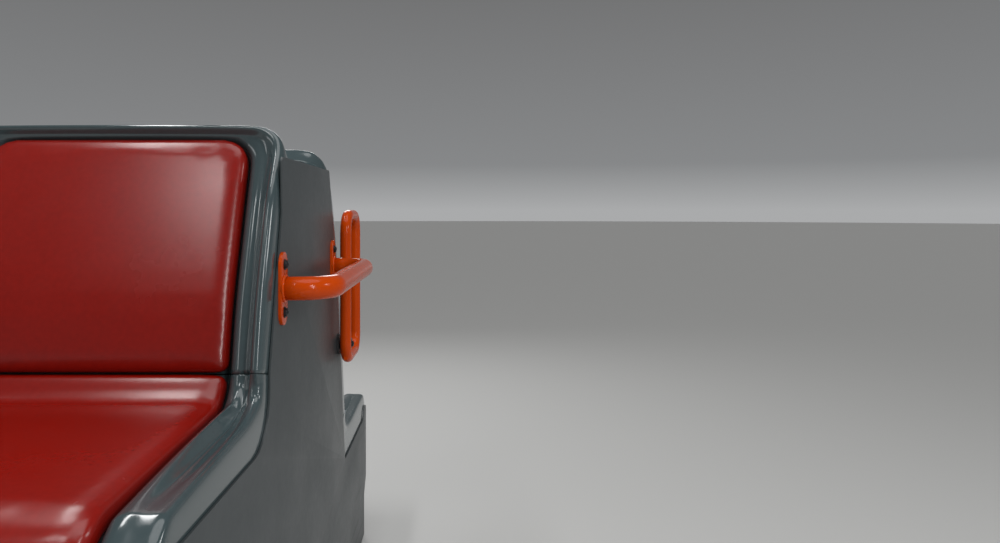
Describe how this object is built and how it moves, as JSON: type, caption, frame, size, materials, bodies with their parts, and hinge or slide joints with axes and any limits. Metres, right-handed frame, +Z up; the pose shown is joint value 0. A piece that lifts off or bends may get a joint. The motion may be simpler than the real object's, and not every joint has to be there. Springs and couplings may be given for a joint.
{
  "type": "back-to-back bus passenger seat unit",
  "caption": "Back-to-back passenger seat unit of a bus: padded moulded shells on a floor casing, with an aisle grab handle and a folding armrest.",
  "frame": {"origin": "middle of the floor bolt pattern, on the floor", "axes": "+Z up from the floor, +Y from the raised front seat to the lower rear seat, +X to the aisle side with the grab handle"},
  "size_m": [0.6316, 1.5014, 1.0424],
  "materials": {
    "frame_steel": "satin",
    "casing": "satin",
    "shell": "gloss",
    "vinyl": "satin",
    "handle": "gloss",
    "fitting": "satin"
  },
  "bodies": {
    "unit": {"floor_frame": "frame_steel", "front_frame": "frame_steel", "rear_frame": "frame_steel", "aisle_panel": "casing", "wall_panel": "casing", "front_riser": "casing", "rear_riser": "casing", "top_cover": "shell", "front_seat_shell": "shell", "front_back_shell": "shell", "rear_seat_shell": "shell", "rear_back_shell": "shell", "front_seat_pad": "vinyl", "front_back_pad": "vinyl", "rear_seat_pad": "vinyl", "rear_back_pad": "vinyl", "handle_tube": "handle", "handle_flange_front": "handle", "handle_flange_rear": "handle", "armrest_bracket": "fitting", "armrest_cap": "fitting"},
    "armrest": {"armrest_loop": "handle"}
  },
  "joints": [
    {"name": "armrest_fold", "type": "hinge", "parent": "unit", "child": "armrest", "pos_m": [0.2903, 0.271, 0.61], "axis": [-1, 0, 0], "range_deg": [0, 90]}
  ]
}
